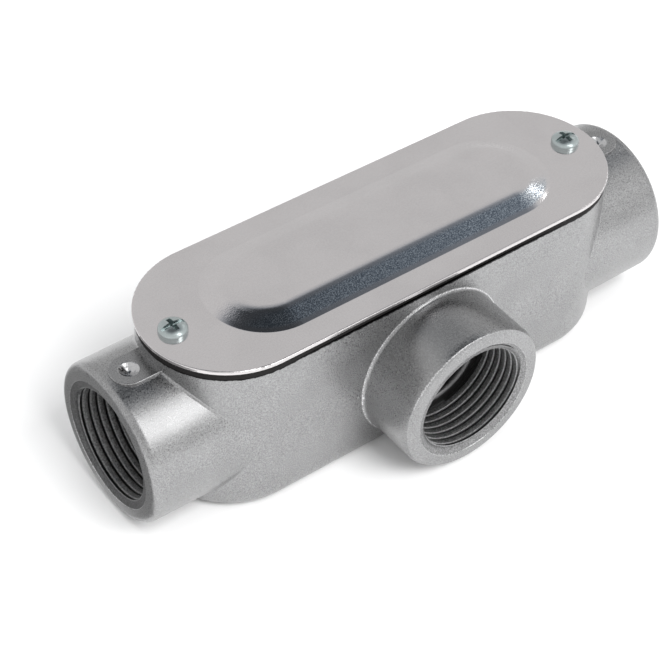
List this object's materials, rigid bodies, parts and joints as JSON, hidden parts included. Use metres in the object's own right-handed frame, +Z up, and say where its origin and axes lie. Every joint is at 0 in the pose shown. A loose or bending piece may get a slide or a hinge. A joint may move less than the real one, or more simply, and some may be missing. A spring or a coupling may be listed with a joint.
{
  "type": "conduit junction box",
  "caption": "Die-cast T-shaped conduit junction box with threaded hubs, an obround wiring chamber, a gasket and a screwed-on raised cover.",
  "frame": {"origin": "on the flat base, under the middle of the straight run", "axes": "+X along the straight run, -Y out of the side hub, +Z up through the cover"},
  "size_m": [0.1696, 0.0649, 0.0533],
  "materials": {
    "casting": "fine blasted grey die casting",
    "gasket": "matte black rubber",
    "cover": "smooth bright plated sheet",
    "screws": "bright zinc plating"
  },
  "bodies": {
    "root": {"body_casting": "casting", "cover_gasket": "gasket", "cover_plate": "cover", "cover_screw_left": "screws", "cover_screw_right": "screws"}
  },
  "joints": []
}
